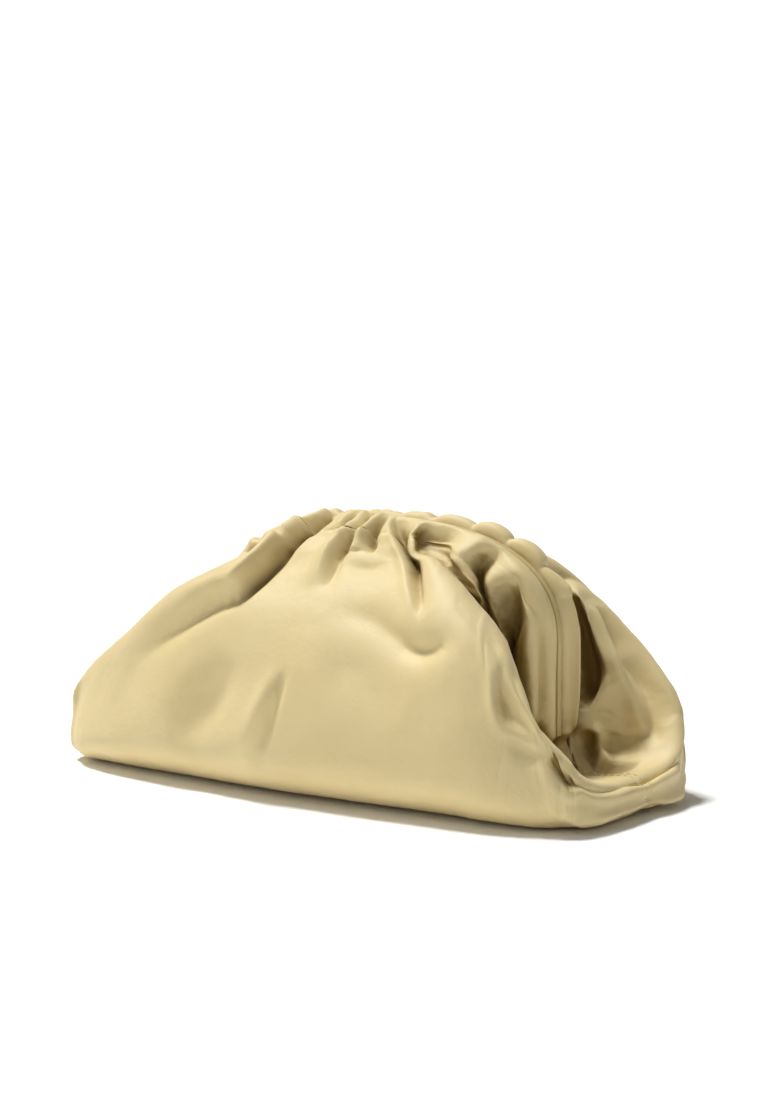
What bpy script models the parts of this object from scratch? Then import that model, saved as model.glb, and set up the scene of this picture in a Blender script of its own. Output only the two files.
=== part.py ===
# Cloud pouch bag: a soft leather clutch gathered over an arched frame.
# +X is the bag's length, -Y its front face, +Z up. The base lies on z = 0 and the origin is the base's centre.

import math

import bmesh
import bpy
import numpy as np

MM = 0.001

# Driving sizes, in metres
LEATHER = 0.0020  # wall of the pouch
GAP = 0.0003  # clearance between neighbouring pieces
FRAME_HALF = 0.114  # from the frame's middle to the outer face of the leather on its arm
FRAME_TOP = 0.1545  # highest point of the leather over the frame
SHOULDER_FOOT = 0.090  # height where the shoulder's curve runs into the straight arm
ARM_FOOT = 0.038  # height where the arm ends at the hinge
SHOULDER_POWER = 2.4  # 2 is an ellipse, more is squarer
SLIT_HALF = 0.0024  # from the middle plane to the wrapped leather
WRAP_WIDTH = 0.0101  # leather, bar and leather, front to back
WRAP_INSIDE = 0.0090  # how far the leather's edge reaches down inside the mouth
WRAP_OUTSIDE = 0.0090  # how far the leather follows the bar's outer side
EARLY_LEAVE = 1.00  # radians before that side's vertical at which the gathered leather leaves the bar
CASING = 0.012  # the smooth strip beside the arm goes this much further down
BAR_INNER_EDGE = 0.0160  # from the leather over the arch to the bars' inner edge
HINGE_SIZE = (0.0076, 0.0196, 0.0120)  # the block that joins the arms' feet, along X, Y and Z
HINGE_ROUND = 0.0010
HINGE_X = FRAME_HALF - BAR_INNER_EDGE - GAP - HINGE_SIZE[0] / 2  # its middle, from the frame's middle
HINGE_Z = ARM_FOOT + GAP + HINGE_SIZE[2] / 2
BASE_X = 0.0135  # the frame's middle lies this far to the right of the base's middle

CREASE_RUN_IN = 0.012  # a crease reaches its full depth over this length

FRAME_STEPS = 24
COLUMNS = 60  # along each face, from side seam to side seam
END_COLUMNS = 3  # of those, between each arm's foot and the side seam
WRAP_ROWS = 6
BODY_ROWS = 16

# Outline of each frame bar, in millimetres: distance to the front and height over the arch, which is the top
# of the leather. The front bar carries a lip that stands in the slit between the two wraps.
FRONT_BAR = (
    (2.0, -1.6), (2.0, -10.3), (4.7, -10.3), (4.7, -4.6), (5.7, -3.0),
    (9.2, -3.0), (10.2, -4.6), (10.2, -16.0), (-1.1, -16.0), (-1.1, -1.6),
)
BACK_BAR = (
    (-4.7, -4.6), (-5.7, -3.0), (-9.2, -3.0), (-10.2, -4.6), (-10.2, -16.0), (-4.7, -16.0),
)

# The leather's section at stations along half of the frame, front right quarter, in millimetres.
# along: 0 at the top of the frame, 1 at the foot of the arm, END at the side seam.
# valley: the bottom of the recess beside the bar. crest: the edge of the lobe outside it.
# belly: the fullest place below the crest. foot: where the leather turns onto the ground.
END = 1.10
SECTION_COLUMNS = (
    "along", "valley_x", "valley_y", "valley_z", "crest_x", "crest_y", "crest_z",
    "belly_x", "belly_y", "belly_z", "foot_x", "foot_y", "foot_z",
)
FRONT_RIGHT = (
    (0.00, 0, 26, 143, 0, 39, 133, 0, 90, 58, 0, 62, 0),
    (0.15, 33, 26, 142, 38, 40, 132, 50, 90, 58, 52, 62, 0),
    (0.30, 46, 21, 122, 58, 41, 136, 90, 88, 58, 94, 61, 0),
    (0.45, 52, 22, 98, 82, 49, 126, 118, 82, 55, 121, 58, 0),
    (0.60, 62, 23, 82, 104, 54, 106, 136, 74, 50, 139, 55, 0),
    (0.72, 70, 24, 68, 118, 57, 84, 147, 68, 44, 150, 51, 0),
    (0.86, 80, 25, 50, 128, 57, 60, 157, 62, 33, 156, 48, 0),
    (1.00, 108, 22, 36, 150, 52, 37, 166, 54, 18, 162, 43, 1),
    (1.05, 114, 12, 27, 161, 42, 25, 170, 38, 12, 165, 32, 2),
    (1.10, 122, 0, 22, 166, 0, 22, 171, 0, 11, 167, 0, 3),
)
BACK_RIGHT = (
    (0.00, 0, 26, 143, 0, 39, 133, 0, 90, 58, 0, 62, 0),
    (0.15, 33, 26, 142, 38, 40, 132, 52, 90, 58, 52, 62, 0),
    (0.30, 58, 25, 136, 69, 41, 135, 92, 86, 60, 94, 61, 0),
    (0.45, 76, 22, 114, 92, 47, 124, 120, 78, 57, 121, 56, 0),
    (0.60, 90, 24, 94, 114, 50, 103, 136, 70, 52, 138, 50, 0),
    (0.72, 98, 25, 76, 131, 51, 82, 147, 63, 47, 150, 44, 1),
    (0.86, 103, 24, 56, 150, 50, 60, 157, 56, 38, 160, 38, 3),
    (1.00, 110, 18, 36, 162, 44, 36, 162, 46, 24, 166, 31, 5),
    (1.05, 114, 10, 27, 166, 30, 25, 171, 28, 14, 170, 22, 5),
    (1.10, 122, 0, 22, 166, 0, 22, 171, 0, 11, 167, 0, 3),
)
LEFT = (
    (0.00, 0, 26, 143, 0, 39, 133, 0, 90, 58, 0, 62, 0),
    (0.15, 33, 26, 142, 38, 40, 132, 52, 90, 58, 52, 62, 0),
    (0.30, 58, 26, 138, 71, 41, 136, 94, 86, 60, 96, 61, 0),
    (0.45, 76, 22, 113, 94, 47, 123, 126, 79, 57, 130, 57, 0),
    (0.60, 90, 24, 94, 121, 52, 101, 150, 72, 52, 158, 53, 0),
    (0.72, 98, 25, 76, 146, 53, 79, 168, 66, 44, 174, 48, 0),
    (0.86, 103, 24, 56, 174, 52, 55, 186, 58, 32, 184, 43, 0),
    (1.00, 110, 18, 36, 190, 44, 31, 195, 46, 18, 190, 36, 0),
    (1.05, 114, 10, 27, 194, 28, 24, 199, 28, 12, 192, 25, 0),
    (1.10, 122, 0, 22, 194, 0, 21, 199, 0, 11, 192, 0, 0),
)

# Gathers where the leather leaves the frame, in millimetres. place: the crease's signed distance along the frame
# from its top. start: how far below the bar's top it begins. width and depth: its size. puff: height of the
# leather between this crease and the next. reach: how far both run down. drift: sideways travel for each
# millimetre down.
GATHER_COLUMNS = ("place", "start", "width", "depth", "puff", "reach", "drift")
FRONT_GATHERS = (
    (-128, 18, 4, 2.0, 2.5, 40, -0.20),
    (-108, 18, 4, 3.0, 4.0, 50, -0.25),
    (-90, 18, 4, 3.5, 4.5, 60, -0.25),
    (-72, 12, 4, 3.5, 4.5, 60, -0.25),
    (-56, 8, 4, 3.0, 4.0, 50, -0.20),
    (-42, 8, 4, 3.0, 3.5, 45, -0.15),
    (-28, 8, 4, 3.0, 3.5, 40, -0.10),
    (-14, 8, 4, 2.5, 3.5, 45, 0.00),
    (-1, 8, 4, 2.5, 3.0, 40, 0.10),
    (10, 8, 4, 3.0, 5.0, 60, 0.35),
    (40, 14, 8, 9.0, 7.0, 45, 0.00),
    (75, 18, 7, 9.0, 7.0, 45, 0.10),
    (107, 18, 8, 8.0, 0.0, 70, 0.00),
)
BACK_GATHERS = (
    (-126, 18, 4, 2.0, 3.0, 50, -0.20),
    (-106, 18, 4, 3.0, 4.5, 60, -0.20),
    (-87, 18, 4, 3.0, 4.5, 60, -0.15),
    (-69, 12, 4, 3.0, 4.5, 60, -0.10),
    (-52, 8, 4, 3.0, 4.0, 50, -0.10),
    (-35, 8, 4, 3.0, 4.5, 60, -0.05),
    (-17, 8, 4, 3.0, 4.0, 50, 0.00),
    (0, 8, 4, 3.0, 4.5, 60, 0.00),
    (18, 8, 4, 3.0, 4.0, 50, 0.05),
    (35, 8, 4, 3.0, 4.5, 60, 0.10),
    (54, 14, 4, 3.0, 5.5, 60, 0.10),
    (76, 18, 5, 4.0, 6.0, 60, 0.10),
    (102, 18, 5, 4.0, 0.0, 60, 0.10),
)

# Free folds as curves through three places. place: millimetres along the frame, down: percent of the way from
# the bar to the base's middle line. depth: how far the fold is pressed in (a ridge stands out if it is
# negative). bank: height of the leather heaped on the curve's left, seen from outside with its start up.
FOLD_COLUMNS = (
    "start_place", "start_down", "middle_place", "middle_down", "end_place", "end_down", "width", "depth", "bank",
)
FRONT_FOLDS = (
    (-32, 14, -44, 44, -106, 58, 9, 9.0, -3.0),
    (-8, 10, -15, 37, -9, 48, 4, 4.0, 0.0),
    (-11, 48, -9, 58, -20, 67, 6, 4.0, 2.0),
    (-50, 52, -42, 58, -40, 64, 18, 4.0, 0.0),
    (4, 46, 37, 50, 80, 50, 8, 5.0, -2.0),
    (-8, 37, 2, 38, 14, 37, 6, 2.5, 0.0),
    (17, 12, 26, 32, 46, 45, 5, 6.0, 3.0),
    (107, 50, 106, 58, 150, 54, 8, 6.0, 0.0),
)
BACK_FOLDS = (
    (126, 35, 148, 30, 190, 21, 7, -8.0, 0.0),
    (114, 38, 138, 37, 166, 32, 6, 5.0, 0.0),
    (198, 23, 205, 27, 211, 33, 5, 4.0, 0.0),
    (22, 10, 40, 45, 98, 58, 9, 7.0, 4.0),
    (-26, 10, -46, 44, -104, 57, 9, 7.0, -4.0),
    (-4, 36, 6, 54, 20, 66, 10, 4.0, 2.0),
)


def spline_through(knots, values, at):
    """Natural cubic spline through values at knots, read at the places given."""
    count = len(knots)
    step = np.diff(knots)
    slopes = np.diff(values, axis=0) / step[:, None]
    matrix = np.eye(count)
    right = np.zeros_like(values)
    for i in range(1, count - 1):
        matrix[i, i - 1 : i + 2] = step[i - 1], 2 * (step[i - 1] + step[i]), step[i]
        right[i] = 6 * (slopes[i] - slopes[i - 1])
    bend = np.linalg.solve(matrix, right)
    i = np.clip(np.searchsorted(knots, at) - 1, 0, count - 2)
    h = step[i][:, None]
    a = (knots[i + 1] - at)[:, None]
    b = (at - knots[i])[:, None]
    straight = (values[i] * a + values[i + 1] * b) / h
    curved = bend[i] * (a**3 / h - h * a) + bend[i + 1] * (b**3 / h - h * b)
    return straight + curved / 6


def bspline_weights(count, at):
    """Weights of count control points on a clamped cubic B-spline, at places from 0 to 1."""
    knots = np.concatenate([[0, 0, 0], np.linspace(0, 1, count - 2), [1, 1, 1]])
    at = np.minimum(at, 1 - 1e-9)
    weights = np.array([(knots[i] <= at) & (at < knots[i + 1]) for i in range(count + 3)], float).T
    for degree in (1, 2, 3):
        longer = np.zeros((len(at), count + 3 - degree))
        for i in range(count + 3 - degree):
            rise = knots[i + degree] - knots[i]
            fall = knots[i + degree + 1] - knots[i + 1]
            if rise > 0:
                longer[:, i] += (at - knots[i]) / rise * weights[:, i]
            if fall > 0:
                longer[:, i] += (knots[i + degree + 1] - at) / fall * weights[:, i + 1]
        weights = longer
    return weights


def frame_path():
    """Half of the frame's arch from its top to the arm's foot: places along it, points and outward normals."""
    turn = np.linspace(0, math.pi / 2, 400)
    x = FRAME_HALF * np.sin(turn) ** (2 / SHOULDER_POWER)
    z = SHOULDER_FOOT + (FRAME_TOP - SHOULDER_FOOT) * np.cos(turn) ** (2 / SHOULDER_POWER)
    arm_z = np.linspace(SHOULDER_FOOT, ARM_FOOT, 100)[1:]
    x = np.concatenate([x, np.full(len(arm_z), FRAME_HALF)])
    z = np.concatenate([z, arm_z])
    length = np.concatenate([[0], np.cumsum(np.hypot(np.diff(x), np.diff(z)))])
    return length, x, z


PATH_LENGTH, PATH_X, PATH_Z = frame_path()


def on_frame(along):
    """Point and outward normal (x, z) of the arch where along is 0 at its top and 1 at the arm's foot."""
    at = np.clip(along, 0, 1) * PATH_LENGTH[-1]
    reach = 0.002
    x = np.interp(at, PATH_LENGTH, PATH_X)
    z = np.interp(at, PATH_LENGTH, PATH_Z)
    before = np.maximum(at - reach, 0)
    after = np.minimum(at + reach, PATH_LENGTH[-1])
    dx = np.interp(after, PATH_LENGTH, PATH_X) - np.interp(before, PATH_LENGTH, PATH_X)
    dz = np.interp(after, PATH_LENGTH, PATH_Z) - np.interp(before, PATH_LENGTH, PATH_Z)
    size = np.hypot(dx, dz)
    return x, z, -dz / size, dx / size


def wrap_section(rows, spread):
    """(row, column, y and r) down the wrap, from the edge inside the mouth, over the bar and down its outer side.

    Where spread is 1 the leather leaves the bar early, down the slope of the face. Where it is 0 it hugs the bar.
    """
    radius = WRAP_WIDTH / 2
    inside = WRAP_INSIDE - radius
    outside = WRAP_OUTSIDE - radius
    total = inside + math.pi * radius + outside
    last_turn = math.pi - EARLY_LEAVE * spread
    section = []
    for k in range(rows + 1):
        at = total * k / rows
        turn = np.clip((at - inside) / radius, 0, last_turn)
        beyond = np.maximum(at - inside - last_turn * radius, 0)
        y = SLIT_HALF + radius * (1 - np.cos(turn)) + beyond * np.sin(last_turn)
        r = -radius + radius * np.sin(turn) + beyond * np.cos(last_turn)
        section.append(np.stack([y, r + min(at - inside, 0)], -1))
    return np.array(section)


def quarter(table, spread_ends, along, wrap_rows, body_rows):
    """Points (column, row, xyz) of one quarter of the leather, with x and y both positive."""
    table = np.array(table, float)
    named = spline_through(table[:, 0], table[:, 1:] * MM, along)
    named = dict(zip(SECTION_COLUMNS[1:], named.T))
    x, z, nx, nz = on_frame(along)
    closing = np.clip((along - 1) / (END - 1), 0, 1)  # 0 on the frame, 1 at the side seam

    def at(name):
        return np.stack([named[name + "_x"], named[name + "_y"], named[name + "_z"]], -1)

    spread = 1 - smooth_step((along - spread_ends[0]) / (spread_ends[1] - spread_ends[0]))
    wrap = []
    for section in wrap_section(wrap_rows, spread):
        y, r = section.T
        wrap.append(np.stack([x + r * nx, y, z + r * nz], -1))
    under = np.stack([x - 0.010, np.zeros_like(x), z - 0.010], -1)
    ease = (closing**0.6)[:, None]
    last = len(wrap) - 1
    valley, crest, belly, foot = at("valley"), at("crest"), at("belly"), at("foot")
    wrap = [w * (1 - ease) + (under * (1 - k / last) + valley * (k / last)) * ease for k, w in enumerate(wrap)]

    recess = np.clip((along - 0.15) / 0.3, 0, 1) * (1 - closing)
    leave = wrap[-1]
    heading = leave - wrap[-2]
    heading /= np.linalg.norm(heading, axis=1, keepdims=True)
    straight = leave + heading * 0.004
    casing = leave + heading * CASING * ((1 - spread) * (1 - closing))[:, None]
    casing += (leave * 0.5 + valley * 0.5 - leave) * np.maximum(spread, closing)[:, None]
    inner = valley * 0.45 + crest * 0.55
    inner[:, 2] -= 0.010 * recess
    upper = crest * 0.5 + belly * 0.5
    upper[:, 1] += 0.010 * (1 - closing)
    upper[:, 2] += 0.010 * (1 - closing)
    low = belly * 0.35 + foot * 0.65
    low[:, 1] += 0.022 * (1 - closing)
    low[:, 2] *= 0.6
    under_foot = foot * np.array([0.96, 0.7, 0.5])
    middle = foot * np.array([0.90, 0.35, 0.5])
    centre = foot * np.array([0.88, 0.0, 0.5])
    control = np.stack([leave, straight, casing, valley, inner, crest, upper, belly, low, foot, under_foot, middle, centre], 1)
    weights = bspline_weights(control.shape[1], np.linspace(0, 1, body_rows + 1)[1:])
    body = np.einsum("rk,ckd->crd", weights, control)
    points = np.concatenate([np.stack(wrap, 1), body], 1)
    points[:, :, 2] = np.maximum(points[:, :, 2], 0)
    return points


def surface_normals(points, wrap_rows, body_rows):
    """Outward normals and how tightly each column is hollowed, as one over the hollow's radius.

    Both are read over the same lengths whatever the number of rows.
    """
    row = np.arange(wrap_rows + body_rows + 1)
    reach = np.where(row < wrap_rows, max(wrap_rows // WRAP_ROWS, 1), max(body_rows // BODY_ROWS, 1))
    before, after = np.maximum(row - reach, 0), np.minimum(row + reach, row[-1])
    down = points[:, after] - points[:, before]
    across = np.gradient(points, axis=0)
    normal = np.cross(across, down)
    size = np.linalg.norm(normal, axis=2, keepdims=True)
    normal = normal / np.maximum(size, 1e-9)
    turn = normal[:, after] - normal[:, before]
    hollow = -(turn * down).sum(2) / np.maximum((down * down).sum(2), 1e-9)
    return normal, np.maximum(hollow, 0)


def smooth_step(value):
    value = np.clip(value, 0, 1)
    return value * value * (3 - 2 * value)


def below_bar(points, wrap_rows):
    """Distance down the leather from the top of the wrapped bar, and how far each point has risen to it."""
    steps = np.linalg.norm(np.diff(points, axis=1), axis=2)
    down = np.concatenate([np.zeros((len(points), 1)), np.cumsum(steps, axis=1)], axis=1)
    top = down[:, wrap_rows // 2, None]
    return np.maximum(down - top, 0), smooth_step((down / top - 0.6) / 0.4)


def gather_heights(points, place, table, wrap_rows):
    """Height of the gathers over one face, from a gather table."""
    below, rise = below_bar(points, wrap_rows)
    full = 0.45 + 0.55 * smooth_step(below / 0.020)
    rows = [dict(zip(GATHER_COLUMNS, row)) for row in table]
    height = np.zeros(points.shape[:2])
    for row, following in zip(rows, rows[1:] + [rows[-1]]):
        here = place[:, None] - row["drift"] * below
        fade = np.exp(-((below / (row["reach"] * MM)) ** 2))
        crease = np.exp(-(((here - row["place"] * MM) / (row["width"] * MM)) ** 2))
        begun = smooth_step((below - row["start"] * MM) / CREASE_RUN_IN)
        height -= row["depth"] * MM * crease * fade * begun
        gap = (following["place"] - row["place"]) * MM
        if gap > 0:
            across = np.clip((here - row["place"] * MM) / gap, 0, 1)
            height += row["puff"] * MM * (4 * across * (1 - across)) ** 0.7 * fade * rise * full
    return height


def curve_through(start, middle, end, count):
    u = np.linspace(0, 1, count)[:, None]
    return start * (1 - u) * (1 - 2 * u) + middle * 4 * u * (1 - u) + end * u * (2 * u - 1)


def fold_heights(points, place, down, table):
    """Height of the free folds over one face, from a fold table."""
    place_scale = np.linalg.norm(np.gradient(points, place, axis=0), axis=2)
    down_scale = np.linalg.norm(np.gradient(points, down, axis=1), axis=2)
    height = np.zeros(points.shape[:2])
    for row in table:
        row = dict(zip(FOLD_COLUMNS, row))
        ends = [np.array([row[k + "_place"] * MM, row[k + "_down"] / 100]) for k in ("start", "middle", "end")]
        curve = curve_through(*ends, 25)
        nearest = np.full(height.shape, np.inf)
        side = np.zeros(height.shape)
        along = np.zeros(height.shape)
        for k, (first, second) in enumerate(zip(curve[:-1], curve[1:])):
            step_x = (second[0] - first[0]) * place_scale
            step_y = (second[1] - first[1]) * down_scale
            x = (place[:, None] - first[0]) * place_scale
            y = (down[None, :] - first[1]) * down_scale
            share = np.clip((x * step_x + y * step_y) / (step_x**2 + step_y**2), 0, 1)
            distance = np.hypot(x - share * step_x, y - share * step_y)
            closer = distance < nearest
            side = np.where(closer, np.sign(x * step_y - y * step_x), side)
            along = np.where(closer, (k + share) / (len(curve) - 1), along)
            nearest = np.where(closer, distance, nearest)
        width = row["width"] * MM
        window = smooth_step(along / 0.25) * smooth_step((1 - along) / 0.2)
        bank_side = np.sign(row["bank"]) if row["bank"] else 0
        steep = np.where(side * bank_side < 0, 0.55, 1.0)
        height -= row["depth"] * MM * np.exp(-((nearest / (width * steep)) ** 2)) * window
        if bank_side:
            offset = (nearest * side * bank_side - 1.9 * width) / (1.2 * width)
            height += abs(row["bank"]) * MM * np.exp(-(offset**2)) * window
    return height


def face(front, columns, wrap_rows, body_rows):
    """Points (column, row, xyz) of one face of the pouch, from the left side seam to the right one."""
    half = columns // 2
    along = np.concatenate([np.linspace(0, 1, half - END_COLUMNS + 1), np.linspace(1, END, END_COLUMNS + 1)[1:]])
    right = quarter(FRONT_RIGHT if front else BACK_RIGHT, (0.1, 0.35), along, wrap_rows, body_rows)
    left = quarter(LEFT, (0.25, 0.5), along, wrap_rows, body_rows)
    left[:, :, 0] *= -1
    points = np.concatenate([left[::-1], right[1:]], 0)
    signed = np.concatenate([-along[::-1], along[1:]])
    place = signed * PATH_LENGTH[-1]
    down = (np.arange(wrap_rows + body_rows + 1) - wrap_rows) / body_rows
    height = gather_heights(points, place, FRONT_GATHERS if front else BACK_GATHERS, wrap_rows)
    _, rise = below_bar(points, wrap_rows)
    height += fold_heights(points, place, down, FRONT_FOLDS if front else BACK_FOLDS) * rise
    height *= smooth_step((END - np.abs(signed)) / 0.12)[:, None]
    height *= smooth_step((0.80 - down) / 0.1)[None, :]
    normal, hollow = surface_normals(points, wrap_rows, body_rows)
    height /= 1 + 1.5 * hollow * np.maximum(height, 0)  # a raised place stays inside the hollow's radius
    points = points + normal * height[:, :, None]
    if front:
        points[:, :, 1] *= -1
    points[:, :, 0] += BASE_X
    return points


def pouch_mesh(front, back):
    """One open sheet from both faces, joined along the base's middle line and the two side seams."""
    columns, rows = front.shape[0], front.shape[1]
    seam = (front + back) / 2
    for side in (front, back):
        side[0], side[-1], side[:, -1] = seam[0], seam[-1], seam[:, -1]
    points = []
    index = np.zeros((2, columns, rows), int)
    for which, side in enumerate((front, back)):
        for c in range(columns):
            for r in range(rows):
                shared = which == 1 and (c in (0, columns - 1) or r == rows - 1)
                if shared:
                    index[which, c, r] = index[0, c, r]
                else:
                    index[which, c, r] = len(points)
                    points.append(side[c, r])
    faces = []
    for which in (0, 1):
        for c in range(columns - 1):
            for r in range(rows - 1):
                corners = [index[which, c, r], index[which, c, r + 1], index[which, c + 1, r + 1], index[which, c + 1, r]]
                faces.append(corners if which == 0 else corners[::-1])
    return np.array(points), faces


def material(name, colour, roughness, metallic=0.0):
    made = bpy.data.materials.new(name)
    made.use_nodes = True
    shader = made.node_tree.nodes["Principled BSDF"]
    shader.inputs["Base Color"].default_value = (*colour, 1)
    shader.inputs["Roughness"].default_value = roughness
    shader.inputs["Metallic"].default_value = metallic
    return made


def add_object(name, points, faces, collection, finish):
    mesh = bpy.data.meshes.new(name)
    mesh.from_pydata([tuple(p) for p in points], [], faces)
    mesh.validate()
    made = bpy.data.objects.new(name, mesh)
    made.data.materials.append(finish)
    collection.objects.link(made)
    return made


def build_leather(collection, finish):
    front = face(True, COLUMNS, WRAP_ROWS, BODY_ROWS)
    back = face(False, COLUMNS, WRAP_ROWS, BODY_ROWS)
    points, faces = pouch_mesh(front, back)
    body = add_object("leather_body", points, faces, collection, finish)
    body.data.shade_smooth()
    wall = body.modifiers.new("Wall", "SOLIDIFY")
    wall.thickness = LEATHER
    wall.offset = -1
    wall.use_even_offset = False
    return body


def arch_curve(collection):
    """The frame's arch, from the foot of the left arm over the top to the foot of the right one."""
    along = np.linspace(-1, 1, FRAME_STEPS + 1)
    x, z, _, _ = on_frame(np.abs(along))
    curve = bpy.data.curves.new("frame_arch", "CURVE")
    curve.dimensions = "3D"
    curve.twist_mode = "MINIMUM"
    spline = curve.splines.new("POLY")
    spline.points.add(len(along) - 1)
    for point, px, pz in zip(spline.points, x * np.sign(along + 1e-9) + BASE_X, z):
        point.co = (px, 0, pz, 1)
    made = bpy.data.objects.new("frame_arch", curve)
    collection.objects.link(made)
    return made


def build_frame(name, profile, collection, guides, finish):
    """A bar swept along the arch. profile: its outline as distance to the front and height over the arch, in mm."""
    outline_curve = bpy.data.curves.new(name + "_profile", "CURVE")
    outline_curve.dimensions = "2D"
    outline = outline_curve.splines.new("POLY")
    outline.points.add(len(profile) - 1)
    outline.use_cyclic_u = True
    for point, (forward, up) in zip(outline.points, profile):
        point.co = (-up * MM, forward * MM, 0, 1)
    shape = bpy.data.objects.new(name + "_profile", outline_curve)
    shape.hide_render = True
    shape.display_type = "WIRE"
    guides.objects.link(shape)
    arch = arch_curve(guides)
    arch.data.bevel_mode = "OBJECT"
    arch.data.bevel_object = shape
    arch.data.use_fill_caps = True
    swept = arch.evaluated_get(bpy.context.evaluated_depsgraph_get())
    mesh = bpy.data.meshes.new_from_object(swept)
    bpy.data.objects.remove(arch)
    loose = bmesh.new()
    loose.from_mesh(mesh)
    bmesh.ops.remove_doubles(loose, verts=loose.verts, dist=1e-6)
    bmesh.ops.recalc_face_normals(loose, faces=loose.faces)
    loose.to_mesh(mesh)
    loose.free()
    mesh.name = name
    bar = bpy.data.objects.new(name, mesh)
    bar.data.materials.append(finish)
    collection.objects.link(bar)
    return bar


def build_hinge(name, side, collection, finish):
    bpy.ops.mesh.primitive_cube_add(size=1, location=(BASE_X + side * HINGE_X, 0, HINGE_Z))
    block = bpy.context.object
    block.name = name
    block.data.name = name
    for vertex in block.data.vertices:
        vertex.co = [c * size for c, size in zip(vertex.co, HINGE_SIZE)]
    edge = block.modifiers.new("Edge", "BEVEL")
    edge.width = HINGE_ROUND
    edge.segments = 1
    for owner in block.users_collection:
        owner.objects.unlink(block)
    collection.objects.link(block)
    block.data.materials.append(finish)
    return block


for old in list(bpy.data.objects):
    bpy.data.objects.remove(old)
bag = bpy.data.collections.new("cloud_pouch_bag")
guides = bpy.data.collections.new("cloud_pouch_bag_guides")
for group in (bag, guides):
    bpy.context.scene.collection.children.link(group)
calf = material("butter_calf_leather", (0.72, 0.58, 0.33), 0.5)
lacquer = material("lacquered_steel", (0.62, 0.52, 0.33), 0.4)
build_leather(bag, calf)
build_frame("frame_front", FRONT_BAR, bag, guides, lacquer)
build_frame("frame_back", BACK_BAR, bag, guides, lacquer)
build_hinge("hinge_right", 1, bag, lacquer)
build_hinge("hinge_left", -1, bag, lacquer)
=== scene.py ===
import math

import bpy
import numpy as np
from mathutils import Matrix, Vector
from mathutils.bvhtree import BVHTree


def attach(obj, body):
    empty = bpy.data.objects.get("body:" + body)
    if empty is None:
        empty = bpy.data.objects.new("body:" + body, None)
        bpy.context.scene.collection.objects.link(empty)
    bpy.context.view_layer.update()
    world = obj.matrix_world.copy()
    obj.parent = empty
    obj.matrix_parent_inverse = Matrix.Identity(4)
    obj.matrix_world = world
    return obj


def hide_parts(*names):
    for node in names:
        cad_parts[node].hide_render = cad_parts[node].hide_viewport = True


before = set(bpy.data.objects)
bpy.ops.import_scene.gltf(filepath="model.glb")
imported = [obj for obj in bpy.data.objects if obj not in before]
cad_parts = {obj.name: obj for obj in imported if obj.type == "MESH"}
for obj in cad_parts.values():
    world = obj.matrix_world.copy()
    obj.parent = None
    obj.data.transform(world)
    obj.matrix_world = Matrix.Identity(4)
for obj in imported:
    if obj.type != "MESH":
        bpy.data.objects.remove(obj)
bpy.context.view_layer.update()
scene = bpy.context.scene
mm = 0.001
print("frame loaded")


# helpers

def smooth(value):
    value = np.clip(value, 0, 1)
    return value * value * (3 - 2 * value)


def lerp(a, b, share):
    return a + (b - a) * share


def splineThrough(knots, values, at):
    # natural cubic spline, one row of values for each knot
    count = len(knots)
    step = np.diff(knots)
    slopes = np.diff(values, axis=0) / step[:, None]
    matrix = np.eye(count)
    right = np.zeros_like(values)
    for i in range(1, count - 1):
        matrix[i, i - 1:i + 2] = step[i - 1], 2 * (step[i - 1] + step[i]), step[i]
        right[i] = 6 * (slopes[i] - slopes[i - 1])
    bend = np.linalg.solve(matrix, right)
    i = np.clip(np.searchsorted(knots, at) - 1, 0, count - 2)
    h = step[i][:, None]
    a = (knots[i + 1] - at)[:, None]
    b = (at - knots[i])[:, None]
    straight = (values[i] * a + values[i + 1] * b) / h
    return straight + (bend[i] * (a**3 / h - h * a) + bend[i + 1] * (b**3 / h - h * b)) / 6


def bsplineWeights(count, at):
    # weights of control points on a clamped cubic B-spline
    knots = np.concatenate([[0, 0, 0], np.linspace(0, 1, count - 2), [1, 1, 1]])
    at = np.minimum(at, 1 - 1e-9)
    weights = np.array([(knots[i] <= at) & (at < knots[i + 1]) for i in range(count + 3)], float).T
    for degree in (1, 2, 3):
        longer = np.zeros((len(at), count + 3 - degree))
        for i in range(count + 3 - degree):
            rise = knots[i + degree] - knots[i]
            fall = knots[i + degree + 1] - knots[i + 1]
            if rise > 0:
                longer[:, i] += (at - knots[i]) / rise * weights[:, i]
            if fall > 0:
                longer[:, i] += (knots[i + degree + 1] - at) / fall * weights[:, i + 1]
        weights = longer
    return weights


def evened(grid, times):
    # a grid of values, each drawn towards its neighbours
    grid = grid.copy()
    for _ in range(times):
        grid[1:-1, 1:-1] = 0.5 * grid[1:-1, 1:-1] + 0.125 * (grid[:-2, 1:-1] + grid[2:, 1:-1]
                                                            + grid[1:-1, :-2] + grid[1:-1, 2:])
    return grid


def valueNoise(x, y, seed):
    # smooth noise from -1 to 1 over two coordinates
    lattice = np.random.default_rng(seed).uniform(-1, 1, (64, 64))
    xi, yi = np.floor(x).astype(int), np.floor(y).astype(int)
    fx, fy = smooth(x - xi), smooth(y - yi)

    def corner(dx, dy):
        return lattice[(xi + dx) % 64, (yi + dy) % 64]

    return lerp(lerp(corner(0, 0), corner(1, 0), fx), lerp(corner(0, 1), corner(1, 1), fx), fy)


def fractal(x, y, seed, octaves=3):
    total = 0
    for k in range(octaves):
        total = total + valueNoise(x * 2**k + 7.3 * k, y * 2**k + 3.1 * k, seed + k) / 2**k
    return total


def inScene(name, data):
    made = bpy.data.objects.new(name, data)
    scene.collection.objects.link(made)
    return made


def meshPiece(name, points, edges, faces):
    mesh = bpy.data.meshes.new(name)
    mesh.from_pydata(points, edges, faces)
    mesh.update()
    return inScene(name, mesh)


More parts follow.
